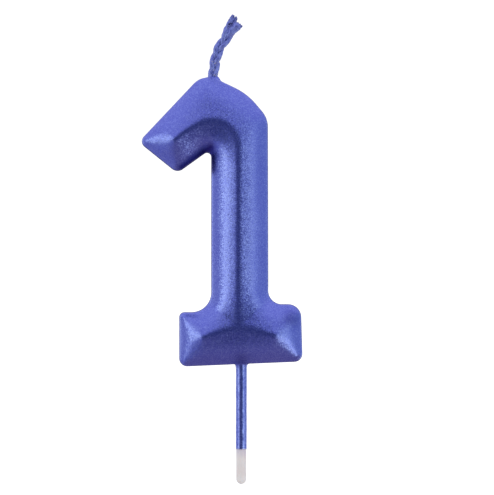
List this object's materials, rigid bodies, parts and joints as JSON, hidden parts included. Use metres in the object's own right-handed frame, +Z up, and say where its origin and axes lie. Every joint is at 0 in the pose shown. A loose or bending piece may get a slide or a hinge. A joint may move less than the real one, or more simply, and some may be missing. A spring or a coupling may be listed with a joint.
{
  "type": "number birthday candle",
  "caption": "Cast wax candle in the shape of the digit one, dipped in metallic blue lacquer, with a plaited wick and a round pick that pushes into a cake.",
  "frame": {"origin": "where the pick's axis leaves the underside of the foot", "axes": "+Z up along the pick and the stem, front face towards -Y, the digit's flag towards -X when seen from the front"},
  "size_m": [0.0392, 0.0118, 0.115],
  "materials": {
    "wax": "cast paraffin, slightly waxy",
    "blue_lacquer": "fine pearl metallic lacquer, satin gloss",
    "pick_plastic": "smooth, slightly translucent",
    "wick_cotton": "plaited cotton stiffened with the blue lacquer"
  },
  "bodies": {
    "root": {"wax_core": "wax", "lacquer_coat": "blue_lacquer", "pick": "pick_plastic", "wick_ply_1": "wick_cotton", "wick_ply_2": "wick_cotton", "wick_ply_3": "wick_cotton"}
  },
  "joints": []
}
